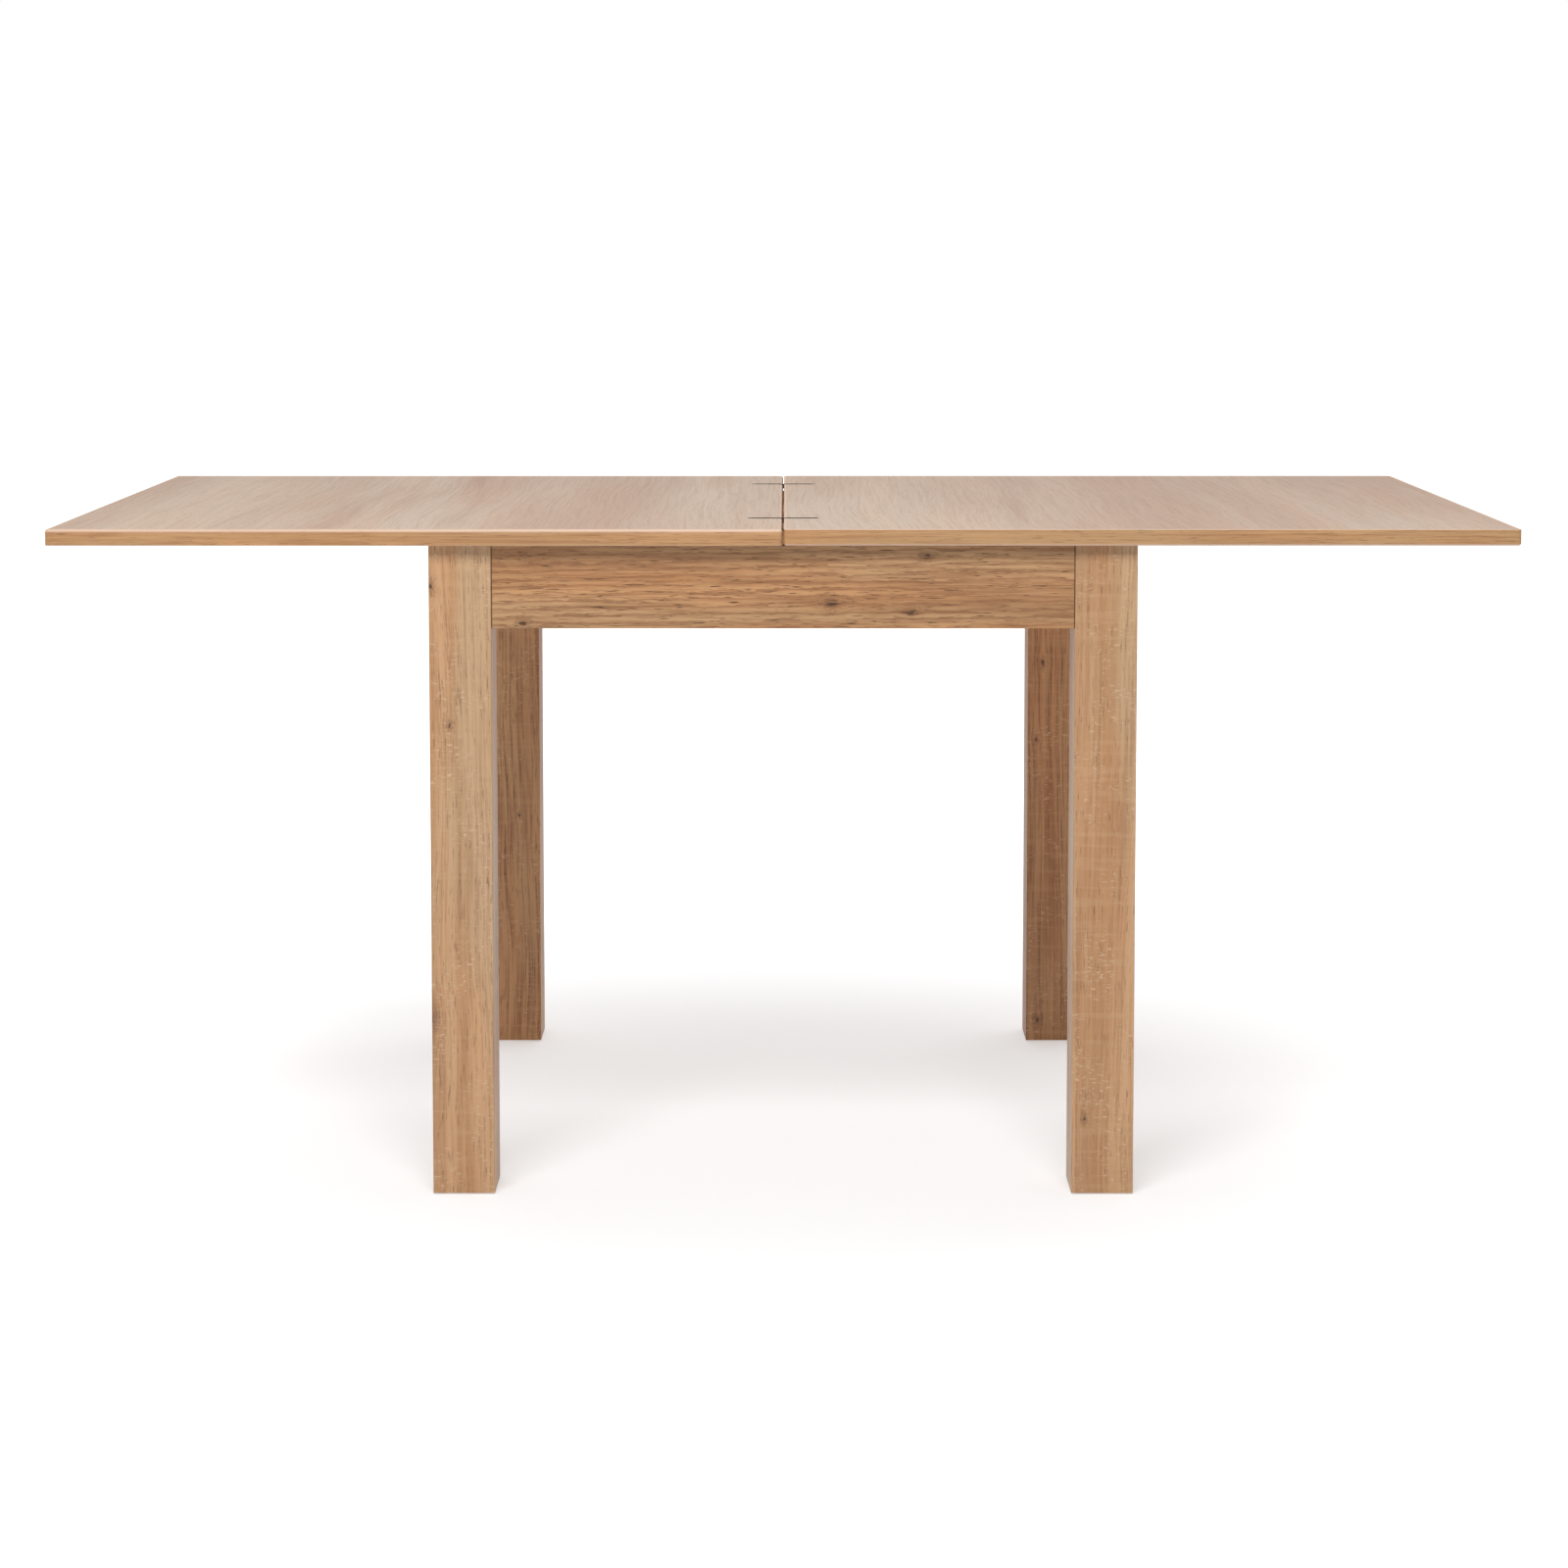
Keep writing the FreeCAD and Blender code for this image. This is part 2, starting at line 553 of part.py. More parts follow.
def main():
    os.makedirs("parts", exist_ok=True)
    to_left = (V(0, 0, 0), V(1, 0, 0))

    # leaves: the left one slides, the right one folds
    left = {n: s.mirror(*to_left) for n, s in leaf_parts(soft_side_up=True, overrun=0).items()}
    runner_pilots = [quadrant(screw_hole(s, V(0, 0, 1), *RUNNER_SCREW), 1, sy)
                     for sy in (-1, 1) for s in runner_screw_spots()]
    left["board"] = cut_all(left["board"], runner_pilots)
    for name, shape in left.items():
        save("left_leaf_" + name, shape)
    for name, shape in leaf_parts(soft_side_up=False, overrun=link_slot).items():
        save("right_leaf_" + name, shape)

    # hinges
    for place, y in (("front", -hinge_y), ("back", hinge_y)):
        save("hinge_plate_%s_right" % place, hinge_plate(y, overrun=link_slot))
        save("hinge_plate_%s_left" % place, hinge_plate(y, overrun=0).mirror(*to_left))
        save("hinge_link_" + place, hinge_link(y))
    save("hinge_pins_right", hinge_pins())
    save("hinge_pins_left", hinge_pins().mirror(*to_left))
    save("hinge_screws_right", hinge_screws())
    save("hinge_screws_left", hinge_screws().mirror(*to_left))

    # slide
    for place, sy in (("front", -1), ("back", 1)):
        save("runner_" + place, quadrant(runner(), 1, sy))
        save("slide_rail_" + place, quadrant(rail(), 1, sy))
    save("runner_screws", Part.Compound([
        quadrant(countersunk_screw(s, V(0, 0, 1), *RUNNER_SCREW), 1, sy)
        for sy in (-1, 1) for s in runner_screw_spots()]))
    save("runner_stops", all_corners(lambda: [runner_stop()]))
    for name, (sx, sy) in CORNERS.items():
        save("rail_bracket_" + name, quadrant(rail_bracket(), sx, sy))
    save("rail_bracket_screws", all_corners(
        lambda: [pan_screw(seat, d, *RAIL_SCREW) for seat, d in rail_bracket_screws()]))

    # leg frame
    for name, (sx, sy) in CORNERS.items():
        save("leg_" + name, leg(name))
        save("corner_bracket_" + name, quadrant(corner_bracket(), sx, sy))
        save("foot_glide_" + name, foot_glide(sx, sy))
    save("apron_front", apron_board(True, -1))
    save("apron_back", apron_board(True, 1))
    save("apron_left", apron_board(False, -1))
    save("apron_right", apron_board(False, 1))
    save("apron_dowels", all_corners(dowels))
    save("hanger_bolts", all_corners(lambda: bolt_set()[0]))
    save("bolt_washers", all_corners(lambda: bolt_set()[1]))
    save("bolt_nuts", all_corners(lambda: bolt_set()[2]))
    save("corner_bracket_screws", all_corners(
        lambda: [pan_screw(seat, d, *CORNER_SCREW) for seat, d in bracket_screw_spots()]))
    save("slide_pads", Part.Compound([slide_pad(x, y) for x, y in pad_spots()]))


main()
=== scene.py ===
import math

import bpy
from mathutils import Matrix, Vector


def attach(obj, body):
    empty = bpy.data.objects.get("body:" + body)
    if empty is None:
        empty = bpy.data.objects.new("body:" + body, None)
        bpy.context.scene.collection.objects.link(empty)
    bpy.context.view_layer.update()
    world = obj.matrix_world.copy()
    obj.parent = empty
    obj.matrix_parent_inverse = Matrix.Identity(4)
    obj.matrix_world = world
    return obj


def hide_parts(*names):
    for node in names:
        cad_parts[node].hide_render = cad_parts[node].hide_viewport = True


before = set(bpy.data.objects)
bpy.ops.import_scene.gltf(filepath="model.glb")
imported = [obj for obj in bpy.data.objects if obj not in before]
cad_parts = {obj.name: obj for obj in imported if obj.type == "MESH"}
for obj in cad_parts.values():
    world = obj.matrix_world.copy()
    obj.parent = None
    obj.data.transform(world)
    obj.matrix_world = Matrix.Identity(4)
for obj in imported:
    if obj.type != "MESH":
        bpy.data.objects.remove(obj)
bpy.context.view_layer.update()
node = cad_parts


# --- Studio --------------------------------------------------------------------
# A pale sweep that glows a little and melts into a white surround, lit by two large
# soft lamps. The camera stands in front, a little above the table top.

bpy.ops.object.select_all(action="DESELECT")
scene = bpy.context.scene
scene.view_settings.view_transform = "Standard"
scene.view_settings.look = "None"


def add_node(tree, kind, settings=None, **inputs):
    """A shader node with its settings and its inputs, which are values or sockets to link."""
    made = tree.nodes.new("ShaderNode" + kind)
    for key, value in (settings or {}).items():
        setattr(made, key, value)
    for key, value in inputs.items():
        socket = made.inputs[int(key[1:])] if key[0] == "_" else made.inputs[key.replace("_", " ")]
        if isinstance(value, bpy.types.NodeSocket):
            tree.links.new(value, socket)
        else:
            socket.default_value = value
    return made


FLOOR_REACH = 60.0
FLOOR_GLOW_SEEN = (0.37, 0.95)    # seen by the camera only: painted shade under the table, and painted light out on the sweep that whites out the shadows there
FLOOR_GLOW_FADE = (0.35, 1.75)    # metres out between which the one turns into the other
FLOOR_GLOW_CAST = 0.26            # what lights the table from below, dimmer than what is seen
bpy.ops.mesh.primitive_plane_add(size=FLOOR_REACH, location=(0, 0, 0))
floor = bpy.context.object
floor.name = "studio_floor"

floor_paint = bpy.data.materials.new("studio_floor_white")
floor_paint.use_nodes = True
floor_tree = floor_paint.node_tree
paint = floor_tree.nodes["Principled BSDF"]
paint.inputs["Base Color"].default_value = (0.72, 0.73, 0.745, 1)
paint.inputs["Specular IOR Level"].default_value = 0.2
paint.inputs["Emission Color"].default_value = (1, 1, 1, 1)
mottle = add_node(floor_tree, "TexNoise", {}, Scale=40.0).outputs["Fac"]
speckle = add_node(floor_tree, "MapRange", {}, Value=mottle, To_Min=0.7, To_Max=0.8).outputs["Result"]
floor_tree.links.new(speckle, paint.inputs["Roughness"])

spot = add_node(floor_tree, "TexCoord").outputs["Object"]
from_front = add_node(floor_tree, "VectorMath", {"operation": "ADD"}, _0=spot, _1=(0, 0.2, 0))
away = add_node(floor_tree, "VectorMath", {"operation": "LENGTH"},
                _0=from_front.outputs["Vector"]).outputs["Value"]
glow_seen = add_node(floor_tree, "MapRange", {"interpolation_type": "SMOOTHSTEP"}, Value=away,
                     From_Min=FLOOR_GLOW_FADE[0], From_Max=FLOOR_GLOW_FADE[1],
                     To_Min=FLOOR_GLOW_SEEN[0], To_Max=FLOOR_GLOW_SEEN[1]).outputs["Result"]
# painted light and shade: the camera sees this glow on top of the light that falls on the floor, low under
# the table and high further out
floor_ray = add_node(floor_tree, "LightPath").outputs["Is Camera Ray"]
floor_glow = add_node(floor_tree, "Mix", {}, Factor=floor_ray, A=FLOOR_GLOW_CAST, B=glow_seen)
floor_tree.links.new(floor_glow.outputs["Result"], paint.inputs["Emission Strength"])
floor.data.materials.append(floor_paint)

# the white sweep behind the table is bright, and the room behind the camera is dim
SURROUND_GLOW = (0.12, 0.68)
surround = bpy.data.worlds.new("studio_surround")
surround.use_nodes = True
room = surround.node_tree
heading = add_node(room, "TexCoord").outputs["Generated"]
depth_way = add_node(room, "SeparateXYZ", {}, Vector=heading).outputs["Y"]
room_glow = add_node(room, "MapRange", {}, Value=depth_way, From_Min=-0.6, From_Max=0.7,
                     To_Min=SURROUND_GLOW[0], To_Max=SURROUND_GLOW[1]).outputs["Result"]
room_ray = add_node(room, "LightPath").outputs["Is Camera Ray"]
strength = add_node(room, "Mix", {}, Factor=room_ray, A=room_glow, B=1.0)
backdrop = room.nodes["Background"]
room.links.new(strength.outputs["Result"], backdrop.inputs["Strength"])
backdrop.inputs["Color"].default_value = (1, 1, 1, 1)
scene.world = surround


def soft_lamp(name, place, aim, width, height, watts):
    """A rectangular soft lamp that faces a point."""
    bpy.ops.object.light_add(type="AREA", location=place)
    lamp = bpy.context.object
    lamp.name = name
    lamp.data.shape = "RECTANGLE"
    lamp.data.size = width
    lamp.data.size_y = height
    lamp.data.energy = watts
    lamp.rotation_euler = (Vector(aim) - Vector(place)).to_track_quat("-Z", "Y").to_euler()
    return lamp


TABLE_MIDDLE = (0, 0, 0.6)
soft_lamp("front_softbox", (-0.4, -3.1, 3.8), TABLE_MIDDLE, width=3.0, height=1.6, watts=156)
soft_lamp("overhead_softbox", (0.6, 1.6, 3.8), TABLE_MIDDLE, width=3.2, height=2.4, watts=30)

CAMERA_PLACE = (0.0032, -4.035, 1.061)
CAMERA_TILT, CAMERA_TURN = 0.0795, 0.0006
CAMERA_LENS, SENSOR_WIDTH, CAMERA_DROP = 77.4, 36, -0.182
bpy.ops.object.camera_add(location=CAMERA_PLACE, rotation=(math.pi / 2 - CAMERA_TILT, 0, CAMERA_TURN))
camera = bpy.context.object
camera.name = "camera"
camera.data.sensor_width = SENSOR_WIDTH
camera.data.lens = CAMERA_LENS
camera.data.shift_y = CAMERA_DROP
camera.data.clip_end = 200
scene.camera = camera


# --- Legs ----------------------------------------------------------------------
# Four square posts wrapped in an oak-print foil, the grain running up the post.
# The print has fine streaks, dark pores, pale ray flecks and a knot here and there.

def sums(tree, operation, a, b):
    return add_node(tree, "Math", {"operation": operation}, _0=a, _1=b).outputs[0]


def vector_sums(tree, operation, a, b):
    return add_node(tree, "VectorMath", {"operation": operation}, _0=a, _1=b).outputs[0]


def remap(tree, value, low, high, to_low=0.0, to_high=1.0, smooth=True):
    """value between low and high, taken to to_low and to_high and held there outside."""
    shape = {"interpolation_type": "SMOOTHSTEP" if smooth else "LINEAR"}
    return add_node(tree, "MapRange", shape, Value=value, From_Min=low, From_Max=high,
                    To_Min=to_low, To_Max=to_high).outputs["Result"]


def blend_colour(tree, factor, a, b, mode="MIX"):
    made = add_node(tree, "Mix", {"data_type": "RGBA", "blend_type": mode}, Factor=factor)
    for socket, value in ((made.inputs[6], a), (made.inputs[7], b)):
        if isinstance(value, bpy.types.NodeSocket):
            tree.links.new(value, socket)
        else:
            socket.default_value = (*value, 1)
    return made.outputs[2]


def grain_noise(tree, place, across, along, detail=3.0, roughness=0.55, distortion=0.0):
    """Noise stretched along the grain; across and along are waves per metre."""
    stretched = vector_sums(tree, "MULTIPLY", place, (across, across, along))
    return add_node(tree, "TexNoise", {}, Vector=stretched, Scale=1.0, Detail=detail,
                    Roughness=roughness, Distortion=distortion).outputs["Fac"]


def board_place(tree, grain, shift):
    """Position on the piece, turned so that the grain runs along the third axis."""
    where = add_node(tree, "TexCoord").outputs["Object"]
    xyz = add_node(tree, "SeparateXYZ", {}, Vector=where).outputs
    order = {"X": (1, 2, 0), "Y": (0, 2, 1), "Z": (0, 1, 2)}[grain]
    turned = add_node(tree, "CombineXYZ", {}, X=xyz[order[0]], Y=xyz[order[1]], Z=xyz[order[2]])
    return turned.outputs[0], vector_sums(tree, "ADD", turned.outputs[0], shift)


def grow_knots(tree, place, printed, knots):
    """Spreads the grain round each knot, and gives how dark the knots are at this point."""
    dark = 0.0
    for centre, size in knots:
        offset = vector_sums(tree, "SUBTRACT", place, centre)
        squat = vector_sums(tree, "MULTIPLY", offset, (1, 1, 0.55))
        reach = add_node(tree, "VectorMath", {"operation": "LENGTH"}, _0=squat).outputs["Value"]
        pull = remap(tree, reach, 0.0, size * 5, -0.75, 0.0)
        scale = add_node(tree, "CombineXYZ", {}, X=pull, Y=pull, Z=0.0).outputs[0]
        printed = vector_sums(tree, "ADD", printed, vector_sums(tree, "MULTIPLY", offset, scale))
        rough_edge = remap(tree, grain_noise(tree, place, 420, 260), 0.3, 0.7, 0.6, 1.7)
        ragged = sums(tree, "MULTIPLY", reach, rough_edge)
        spot = remap(tree, ragged, size * 0.35, size, 1.0, 0.0)
        halo = remap(tree, ragged, size * 0.8, size * 3.2, 0.35, 0.0)
        dark = sums(tree, "MAXIMUM", sums(tree, "MAXIMUM", spot, halo), dark)
    return printed, dark


# the pale colour of the painted highlight along rounded edges
ARRIS_HIGHLIGHT = (0.74, 0.53, 0.40)


def oak_foil(name, grain, shift, tones, streaks=0.5, pores=0.5, flecks=0.0, figure=0.0, bands=0.5,
             knots=(), roughness=(0.42, 0.56), band_width=22.0, band_length=1.1, arris_highlight=(),
             joint_shadow_line=0.0, hue_drift=1.0):
    """Oak-print foil. tones are its pale, middle and dark browns; the other strengths run from 0 to 1.
    arris_highlight lists heights (from, to) between which a painted highlight lightens the foil along a
    rounded edge.
    joint_shadow_line is how far from the middle of the board its ends meet the legs; there a thin dark
    line of painted shadow lies in the joint."""
    foil = bpy.data.materials.new(name)
    foil.use_nodes = True
    tree = foil.node_tree
    pale, middle, deep = tones
    place, printed = board_place(tree, grain, shift)
    printed, knot_dark = grow_knots(tree, place, printed, knots)
    wander = grain_noise(tree, printed, 5.0, 1.6, detail=2)
    sway = add_node(tree, "CombineXYZ", {}, X=remap(tree, wander, 0.3, 0.7, -0.009, 0.009, False),
                    Y=0.0, Z=0.0).outputs[0]
    printed = vector_sums(tree, "ADD", printed, sway)

    broad = grain_noise(tree, printed, band_width, band_length, detail=2.5)
    softness = 0.3 * (1.2 - bands)
    colour = blend_colour(tree, remap(tree, broad, 0.5 - softness, 0.5 + softness), middle, pale)
    narrow = grain_noise(tree, printed, band_width * 2.6, band_length * 2, detail=3)
    colour = blend_colour(tree, remap(tree, narrow, 0.55, 0.75, 0.0, 0.8 * bands), colour, deep)
    if figure:
        rings = vector_sums(tree, "ADD", printed, (0.31, 0.02, 0.0))
        tilted = add_node(tree, "Mapping", {}, Vector=rings, Rotation=(0.012, 0.05, 0.0)).outputs[0]
        kind = {"wave_type": "RINGS", "rings_direction": "Z", "wave_profile": "SAW"}
        wave = add_node(tree, "TexWave", kind, Vector=vector_sums(tree, "MULTIPLY", tilted, (1, 1, 0.16)),
                        Scale=38.0, Distortion=5.5, Detail=3.0, Detail_Scale=3.2,
                        Detail_Roughness=0.6).outputs["Fac"]
        lines = remap(tree, wave, 0.45, 1.0, 0.0, figure)
        colour = blend_colour(tree, lines, colour, deep)
    warmth = remap(tree, grain_noise(tree, printed, 16, 1.4, detail=2), 0.4, 0.6)
    tint = blend_colour(tree, warmth, (0.96, 1.0, 1.04), (1.05, 0.97, 0.92))
    colour = blend_colour(tree, hue_drift, colour, tint, "MULTIPLY")
    fine = grain_noise(tree, printed, 330, 7.5, detail=4, roughness=0.65)
    colour = blend_colour(tree, remap(tree, fine, 0.42, 0.70, 0.0, streaks), colour, deep)
    light_lines = grain_noise(tree, printed, 210, 5.0, detail=3)
    colour = blend_colour(tree, remap(tree, light_lines, 0.52, 0.72, 0.0, streaks * 0.8), colour, pale)
    pore = grain_noise(tree, printed, 820, 48, detail=2, roughness=0.5)
    pore_mask = remap(tree, pore, 0.60, 0.70, 0.0, pores)
    colour = blend_colour(tree, pore_mask, colour, tuple(c * 0.42 for c in deep))
    if flecks:
        ray = grain_noise(tree, place, 150, 420, detail=3.0, roughness=0.6, distortion=0.5)
        where = grain_noise(tree, place, 26, 14, detail=2)
        ray_mask = sums(tree, "MULTIPLY", remap(tree, ray, 0.56, 0.66, 0.0, flecks),
                        remap(tree, where, 0.42, 0.6))
        cream = (pale[0] * 1.1, pale[1] * 1.25, pale[2] * 1.5)
        colour = blend_colour(tree, ray_mask, colour, cream)
        ripple = grain_noise(tree, place, 12, 130, detail=2, distortion=0.5)
        colour = blend_colour(tree, remap(tree, ripple, 0.5, 0.68, 0.0, flecks * 0.35), colour, pale)
    if knots:
        colour = blend_colour(tree, knot_dark, colour, tuple(c * 0.35 for c in deep))
    # painted shadow: a thin dark line at each end of the board, where it meets a leg
    if joint_shadow_line:
        along = add_node(tree, "SeparateXYZ", {}, Vector=place).outputs["Z"]
        from_middle = sums(tree, "ABSOLUTE", along, 0.0)
        joint_shadow = remap(tree, from_middle, joint_shadow_line - 0.0016, joint_shadow_line - 0.0006, 0.0, 0.85)
        colour = blend_colour(tree, joint_shadow, colour, tuple(c * 0.2 for c in deep))

    spot = add_node(tree, "TexCoord").outputs["Object"]
    height = add_node(tree, "SeparateXYZ", {}, Vector=spot).outputs["Z"]
    # painted highlight: the foil is lightened between these heights, along the edges
    for start, end in arris_highlight:
        colour = blend_colour(tree, remap(tree, height, start, end, 0.0, 0.8), colour, ARRIS_HIGHLIGHT)

    shader = tree.nodes["Principled BSDF"]
    tree.links.new(colour, shader.inputs["Base Color"])
    shader.inputs["IOR"].default_value = 1.5
    tree.links.new(remap(tree, fine, 0.3, 0.7, *roughness, False), shader.inputs["Roughness"])
    depth = sums(tree, "ADD", sums(tree, "MULTIPLY", fine, 0.4), sums(tree, "MULTIPLY", pore_mask, -0.7))
    relief = add_node(tree, "Bump", {}, Strength=0.35, Distance=0.00025, Height=depth)
    tree.links.new(relief.outputs[0], shader.inputs["Normal"])
    return foil


def dress(cad_node, finish):
    """Gives a CAD piece its finish in place of the plain one."""
    piece = node[cad_node]
    piece.data.materials.clear()
    piece.data.materials.append(finish)


LEG_TONES = ((0.58, 0.36, 0.195), (0.47, 0.26, 0.125), (0.31, 0.138, 0.056))
# a redder, darker copy of the leg tones: painted shade for the back legs, which stand in the shadow of the
# top
BACK_LEG_SHADED_TONES = ((0.60, 0.325, 0.150), (0.475, 0.222, 0.090), (0.29, 0.115, 0.041))
# each knot: where it lies across, across and along the grain, in metres, and its size
leg_knots = {
    "front_left": [((-0.364, -0.386, 0.522), 0.0022), ((-0.384, -0.386, 0.674), 0.0028),
                   ((-0.386, -0.384, 0.196), 0.0045)],
    "front_right": [((0.332, -0.386, 0.085), 0.002), ((0.386, -0.352, 0.43), 0.003)],
    "back_left": [((-0.345, 0.318, 0.30), 0.002), ((-0.386, 0.355, 0.52), 0.003)],
    "back_right": [((0.337, 0.318, 0.50), 0.0028), ((0.329, 0.318, 0.40), 0.0022),
                   ((0.333, 0.318, 0.028), 0.0024)],
}
# the back pair is wrapped in a redder, darker copy of the print, painted shade for the shadow under the
# top, with stronger streaks
for number, (corner, knots) in enumerate(leg_knots.items()):
    tones, streaks = (LEG_TONES, 0.48) if corner.startswith("front") else (BACK_LEG_SHADED_TONES, 0.95)
    wrap = oak_foil("leg_foil_" + corner, "Z", (0.9 * number, 0.37 * number, 0.61 * number), tones,
                    streaks=streaks, pores=0.55, flecks=0.8, bands=0.9, knots=knots,
                    roughness=(0.34, 0.46))
    dress("leg_" + corner, wrap)


# --- Aprons --------------------------------------------------------------------
# Four boards between the legs, faced in the same oak print but plain sawn: long
# arched figure, strong dark streaks and small knots, the grain running lengthways.

APRON_END = 0.318         # from the middle of an apron to the leg it meets
APRON_TONES = ((0.54, 0.305, 0.142), (0.435, 0.222, 0.095), (0.25, 0.106, 0.041))
apron_knots = {
    "front": [((-0.385, 0.634, -0.283), 0.0030), ((-0.385, 0.655, 0.053), 0.0034),
              ((-0.385, 0.647, 0.141), 0.0024), ((-0.385, 0.708, 0.157), 0.0026)],
    "back": [((0.385, 0.668, 0.205), 0.0032), ((0.385, 0.652, -0.12), 0.0024)],
    "left": [((-0.385, 0.661, -0.16), 0.0030)],
    "right": [((0.385, 0.665, 0.18), 0.0030), ((0.385, 0.695, -0.09), 0.0022)],
}
for number, (side, knots) in enumerate(apron_knots.items()):
    facing = oak_foil("apron_foil_" + side, "X" if side in ("front", "back") else "Y",
                      (0.013 * number, 0.71 * number, 0.53 * number), APRON_TONES,
                      streaks=0.72, pores=1.0, figure=0.62, bands=0.85, knots=knots, band_width=40.0,
                      joint_shadow_line=APRON_END)
    dress("apron_" + side, facing)


# --- Leaves --------------------------------------------------------------------
# Two chipboard leaves faced in a paler, calmer oak print with wide soft bands. The
# grain runs from the front edge to the back, so the bands lie side by side along X.

LEAF_TONES = ((0.57, 0.42, 0.305), (0.475, 0.30, 0.20), (0.37, 0.19, 0.105))
for number, side in enumerate(("left", "right")):
    facing = oak_foil("leaf_facing_" + side, "Y", (0.37 + 1.3 * number, 0.0, 0.2 + number), LEAF_TONES,
                      streaks=0.32, pores=0.4, bands=0.72, band_width=5.0, band_length=0.45,
                      roughness=(0.38, 0.48), hue_drift=0.35)
    dress(side + "_leaf_board", facing)


# --- Edge bands ----------------------------------------------------------------
# Plastic edge band glued round each leaf, printed with fine straight oak streaks
# that run along each edge and lightly embossed.

BAND_TONES = ((0.56, 0.325, 0.152), (0.47, 0.25, 0.110), (0.33, 0.15, 0.058))
# darker tones for the bands in the seam: painted shade
SEAM_SHADE_TONES = ((0.34, 0.19, 0.088), (0.28, 0.145, 0.063), (0.20, 0.092, 0.036))
# the left leaf is rounded above and the right one below, and both are crisp on the other side; a painted
# highlight runs along each top and bottom edge, wider where it is rounded
BAND_ARRIS_HIGHLIGHT = {"left": ((0.7338, 0.7364), (0.7208, 0.7201)),
              "right": ((0.7371, 0.7379), (0.7228, 0.7208))}
for side, arris_highlight in BAND_ARRIS_HIGHLIGHT.items():
    for grain, edges in (("X", ("front", "back")), ("Y", ("outer",))):
        strip = oak_foil("edge_band_%s_%s" % (side, grain.lower()), grain, (0.2 * len(side), 0.4, 0.9),
                         BAND_TONES, streaks=0.68, pores=0.45, bands=0.4, band_width=130.0,
                         band_length=2.2, roughness=(0.36, 0.46), arris_highlight=arris_highlight)
        for edge in edges:
            dress("%s_leaf_band_%s" % (side, edge), strip)
    # the bands that face each other across the seam get darker tones, painted shade for the shadow down in
    # the seam, with a painted highlight along the edge on both sides
    shaded_seam_band = oak_foil("edge_band_%s_seam" % side, "Y", (0.3, 0.1, 0.5), SEAM_SHADE_TONES, streaks=0.5,
                       roughness=(0.5, 0.6), arris_highlight=((0.7371, 0.7379), (0.7208, 0.7201)))
    dress("%s_leaf_band_seam" % side, shaded_seam_band)


# --- Rails, runners and dowels -------------------------------------------------
# Planed beech, bare: pale pinkish wood with short dark flecks along the grain.

BEECH_TONES = ((0.66, 0.45, 0.28), (0.58, 0.36, 0.20), (0.46, 0.26, 0.13))
beech = oak_foil("planed_beech", "X", (0.1, 0.5, 0.3), BEECH_TONES, streaks=0.3, pores=0.7, bands=0.3,
                 band_width=60.0, roughness=(0.55, 0.68))
for cad_node in ("runner_front", "runner_back", "slide_rail_front", "slide_rail_back", "apron_dowels"):
    dress(cad_node, beech)


# --- Hinges --------------------------------------------------------------------
# Flush double-pivot hinges in dark burnished steel: plates, links, pins and screws,
# with fine brushing along the strap and a little darkening from handling.

def brushed_metal(name, colour, tarnish, roughness, brush_axis):
    """Metal with fine brushing along one axis and cloudy tarnish."""
    metal = bpy.data.materials.new(name)
    metal.use_nodes = True
    tree = metal.node_tree
    place = add_node(tree, "TexCoord").outputs["Object"]
    stretch = {"X": (60, 2600, 2600), "Y": (2600, 60, 2600), "Z": (2600, 2600, 60)}[brush_axis]
    brushing = add_node(tree, "TexNoise", {}, Vector=vector_sums(tree, "MULTIPLY", place, stretch),
                        Scale=1.0, Detail=2.0).outputs["Fac"]
    cloud = add_node(tree, "TexNoise", {}, Vector=place, Scale=90.0, Detail=4.0).outputs["Fac"]
    shader = tree.nodes["Principled BSDF"]
    shader.inputs["Metallic"].default_value = 1.0
    tree.links.new(blend_colour(tree, remap(tree, cloud, 0.42, 0.72), colour, tarnish),
                   shader.inputs["Base Color"])
    tree.links.new(remap(tree, sums(tree, "ADD", brushing, cloud), 0.7, 1.3, *roughness, False),
                   shader.inputs["Roughness"])
    relief = add_node(tree, "Bump", {}, Strength=0.25, Distance=0.00004, Height=brushing)
    tree.links.new(relief.outputs[0], shader.inputs["Normal"])
    return metal


hinge_steel = brushed_metal("hinge_steel", colour=(0.17, 0.155, 0.14), tarnish=(0.09, 0.078, 0.066),
                            roughness=(0.3, 0.5), brush_axis="X")
hinge_shader = hinge_steel.node_tree.nodes["Principled BSDF"]
hinge_shader.inputs["Specular Tint"].default_value = (0.12, 0.11, 0.1, 1)    # dark nearly edge on too
for cad_node, piece in node.items():
    if cad_node.startswith("hinge_"):
        dress(cad_node, hinge_steel)


# --- Brackets, bolts and screws ------------------------------------------------
# Zinc-plated steel under the top: corner brackets, rail angles and their fixings.

zinc = brushed_metal("zinc_plate", colour=(0.60, 0.61, 0.63), tarnish=(0.42, 0.42, 0.43),
                     roughness=(0.32, 0.55), brush_axis="Z")
STEEL_STARTS = ("corner_bracket", "rail_bracket", "runner_screws", "hanger_bolts", "bolt_")
for cad_node in node:
    if cad_node.startswith(STEEL_STARTS):
        dress(cad_node, zinc)

